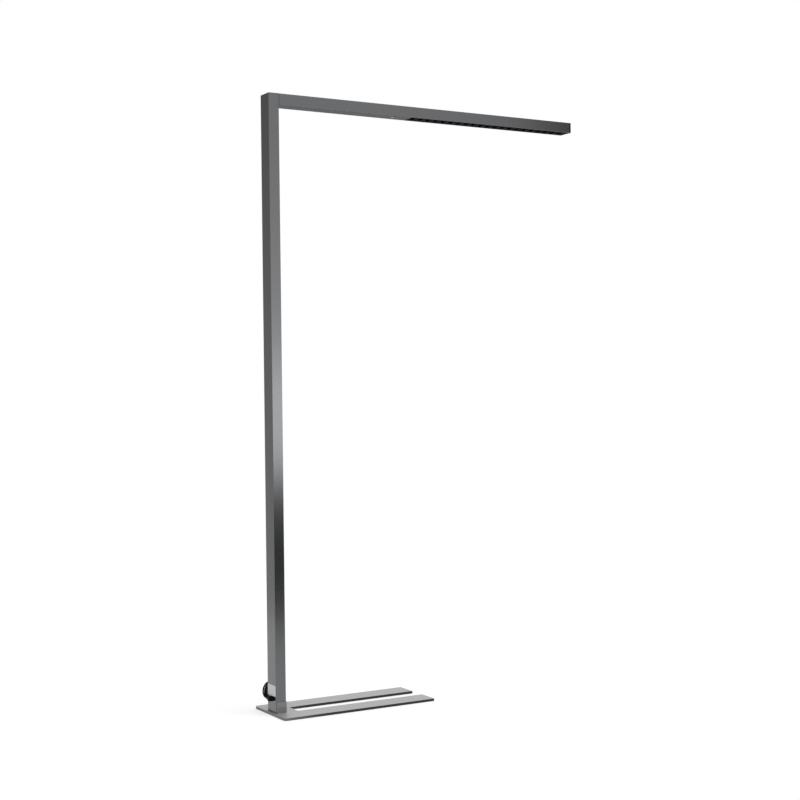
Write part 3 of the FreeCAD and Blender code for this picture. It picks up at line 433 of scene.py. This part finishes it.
dress(opal, "top_diffuser", "sensor_lens")
white_plastic = speckled("white_plastic", (0.70, 0.70, 0.69), 0.5, size=0.0008)
dress(white_plastic, "led_driver", "terminal_block", "sensor_body", "control_spacers")
board_white = speckled("board_white", (0.62, 0.63, 0.60), 0.45, size=0.002)
dress(board_white, "down_led_board", "up_led_board", "control_board")
clear_plastic, clear_tree, clear_shader = new_material("clear_plastic")
clear_shader.inputs["Base Color"].default_value = (0.9, 0.92, 0.93, 1)
clear_shader.inputs["Roughness"].default_value = 0.12
clear_shader.inputs["Transmission Weight"].default_value = 1.0
clear_shader.inputs["IOR"].default_value = 1.49
dress(clear_plastic, "down_lens")
button_plastic = speckled("button_plastic", (0.42, 0.42, 0.43), 0.35, size=0.0006)
dress(button_plastic, "push_button")

# ---- Type label ----------------------------------------------------------------------------
# A thin polyester label with glue on its back, stuck to the back of the post just above the
# cord outlet. It is left bare.
label_film = speckled("label_film", (0.90, 0.90, 0.90), 0.6, size=0.0015, change=0.05, bump=0.03)
dress(label_film, "type_label")

# ---- Floor and light -----------------------------------------------------------------------
# A sheet of white paper that keeps the lamp's soft shadow, white surroundings, a broad soft sun
# and one soft box. Plain cards out of sight give the metal its darker and brighter reflections.


def lying(left, right, front, rear, height):
    """The corners of a level sheet."""
    return [(left, front, height), (right, front, height), (right, rear, height), (left, rear, height)]


def upright(first, last, low, high):
    """The corners of a sheet that stands over a line from one place on the floor to another."""
    return [(*first, low), (*last, low), (*last, high), (*first, high)]


paper_grey = (0.6, 0.6, 0.6, 1)
paper_glow = 0.55
plain_white = (1, 1, 1, 1)
paper_mesh = bpy.data.meshes.new("paper")
paper_mesh.from_pydata(lying(-2.6, 2.6, -1.45, 3.0, 0), [], [(0, 1, 2, 3)])
paper = bpy.data.objects.new("paper", paper_mesh)
bpy.context.collection.objects.link(paper)
paper_white, paper_tree, paper_shader = new_material("paper_white")
paper_shader.inputs["Base Color"].default_value = paper_grey
paper_shader.inputs["Roughness"].default_value = 0.9
paper_shader.inputs["Specular IOR Level"].default_value = 0.0


def white_to_the_eye(tree):
    """One for what the camera sees straight, in metal or through glass, and nothing for other light."""
    path = add(tree, "ShaderNodeLightPath")
    straight = add(tree, "ShaderNodeMath", operation="MAXIMUM")
    tree.links.new(path.outputs["Is Camera Ray"], straight.inputs[0])
    tree.links.new(path.outputs["Is Glossy Ray"], straight.inputs[1])
    shown = add(tree, "ShaderNodeMath", operation="MAXIMUM")
    tree.links.new(straight.outputs[0], shown.inputs[0])
    tree.links.new(path.outputs["Is Transmission Ray"], shown.inputs[1])
    return shown.outputs[0]


glow = add(paper_tree, "ShaderNodeEmission")
glow.inputs["Color"].default_value = plain_white
strength = add(paper_tree, "ShaderNodeMath", operation="MULTIPLY")
strength.inputs[1].default_value = paper_glow
paper_tree.links.new(white_to_the_eye(paper_tree), strength.inputs[0])
paper_tree.links.new(strength.outputs[0], glow.inputs["Strength"])
summed = add(paper_tree, "ShaderNodeAddShader")
paper_tree.links.new(paper_shader.outputs[0], summed.inputs[0])
paper_tree.links.new(glow.outputs[0], summed.inputs[1])
paper_tree.links.new(summed.outputs[0], paper_tree.nodes["Material Output"].inputs["Surface"])
paper_mesh.materials.append(paper_white)

room_light = 0.55
world = bpy.data.worlds.new("studio")
bpy.context.scene.world = world
world.use_nodes = True
world_tree = world.node_tree
backdrop = world_tree.nodes["Background"]
backdrop.inputs["Color"].default_value = plain_white
backdrop_level = add(world_tree, "ShaderNodeMapRange")
backdrop_level.inputs["To Min"].default_value = room_light
world_tree.links.new(white_to_the_eye(world_tree), backdrop_level.inputs["Value"])
world_tree.links.new(backdrop_level.outputs["Result"], backdrop.inputs["Strength"])

sun_strength = 0.9
sun_spread, sun_lean, sun_turn = math.radians(40), math.radians(25), math.radians(20)
sun_data = bpy.data.lights.new("sun", "SUN")
sun_data.energy = sun_strength
sun_data.angle = sun_spread
sun = bpy.data.objects.new("sun", sun_data)
bpy.context.collection.objects.link(sun)
sun.rotation_euler = (sun_lean, 0, sun_turn)

box_wide, box_tall, box_radiance = 1.5, 0.66, 1.9
box_place, box_turn = (0.90, -2.70, 0.84), math.radians(90)
box_data = bpy.data.lights.new("soft_box", "AREA")
box_data.shape = "RECTANGLE"
box_data.size = box_wide
box_data.size_y = box_tall
box_data.energy = box_radiance * math.pi * box_wide * box_tall
soft_box = bpy.data.objects.new("soft_box", box_data)
bpy.context.collection.objects.link(soft_box)
soft_box.location = box_place
soft_box.rotation_euler = (box_turn, 0, 0)
soft_box.visible_camera = False


def card(name, corners, low_level, high_level):
    """A plain card that only reflections show; its tone runs from one level to another upwards."""
    mesh = bpy.data.meshes.new(name)
    mesh.from_pydata(corners, [], [(0, 1, 2, 3)])
    sheet = bpy.data.objects.new(name, mesh)
    bpy.context.collection.objects.link(sheet)
    sheet.visible_camera = False
    sheet.visible_diffuse = False
    sheet.visible_transmission = False
    sheet.visible_shadow = False
    material, tree, shader = new_material(name)
    tree.nodes.remove(shader)
    tone = add(tree, "ShaderNodeEmission")
    place = add(tree, "ShaderNodeTexCoord")
    parts = add(tree, "ShaderNodeSeparateXYZ")
    tree.links.new(place.outputs["Generated"], parts.inputs[0])
    run = add(tree, "ShaderNodeMapRange")
    run.inputs["To Min"].default_value = low_level
    run.inputs["To Max"].default_value = high_level
    tree.links.new(parts.outputs["Z"], run.inputs["Value"])
    tree.links.new(run.outputs["Result"], tone.inputs["Strength"])
    tree.links.new(tone.outputs[0], tree.nodes["Material Output"].inputs["Surface"])
    mesh.materials.append(material)


# Each card's corners, and its level at the bottom and at the top, where 1 is white.
cards = {
    "low_front_card": (upright((-1.2, -1.75), (2.2, -1.75), 0.0, 0.63), 0.02, 0.02),
    "upper_front_card": (upright((0.0, -2.72), (1.9, -2.72), 1.17, 2.4), 1.5, 0.95),
    "far_right_card": (upright((2.25, -2.5), (5.0, -2.5), 1.5, 4.5), 0.1, 0.1),
    "rear_left_card": (upright((-2.6, 1.13), (-0.53, 2.33), 0.0, 3.0), 0.70, 0.22),
    "rear_floor_card": (lying(-4.0, 12.0, 3.0, 16.0, -0.01), 0.22, 0.22),
}
for card_name, (corners, low_level, high_level) in cards.items():
    card(card_name, corners, low_level, high_level)
